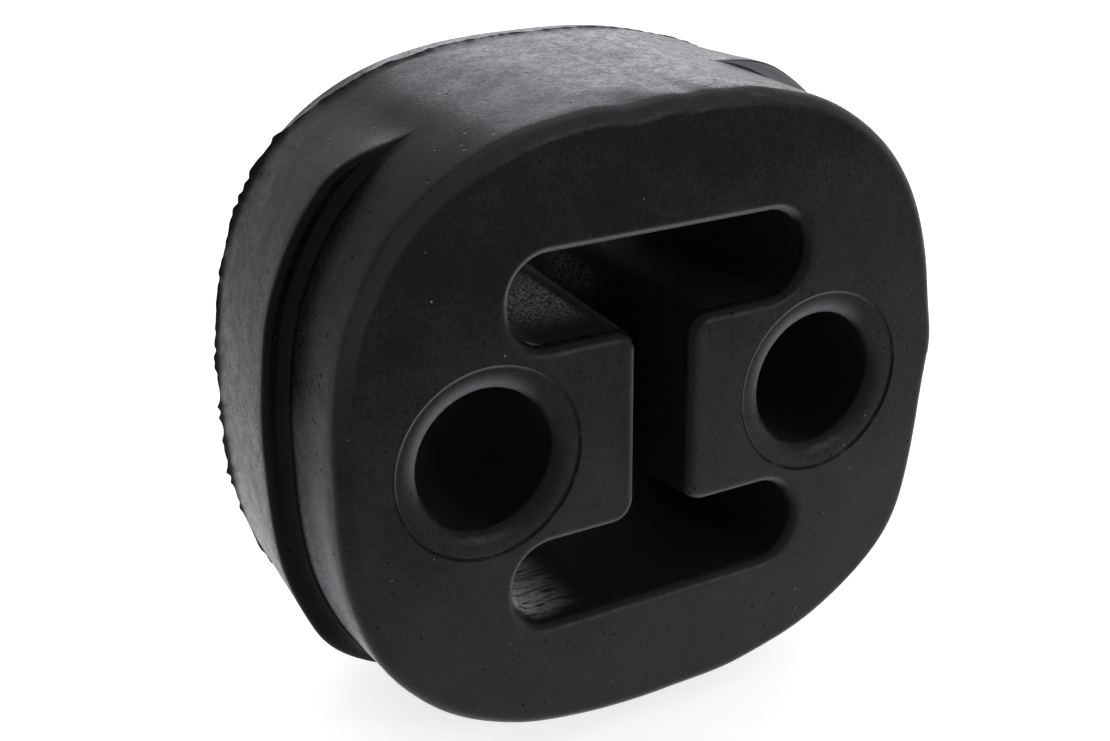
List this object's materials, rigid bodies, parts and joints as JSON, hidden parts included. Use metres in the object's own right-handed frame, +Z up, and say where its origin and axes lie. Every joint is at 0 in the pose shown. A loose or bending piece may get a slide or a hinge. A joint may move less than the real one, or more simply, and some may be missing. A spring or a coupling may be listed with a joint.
{
  "type": "exhaust hanger rubber",
  "caption": "Rounded block of moulded rubber with pin bores either side of an H-shaped opening, used to hang an exhaust pipe.",
  "frame": {"origin": "midway between the two bores, halfway between the front and back faces", "axes": "+X from the left bore to the right bore, +Y along the bores from the front face to the back face, +Z up"},
  "size_m": [0.0602, 0.026, 0.0552],
  "materials": {
    "rubber": "satin, as moulded"
  },
  "bodies": {
    "root": {"hanger_rubber": "rubber"}
  },
  "joints": []
}
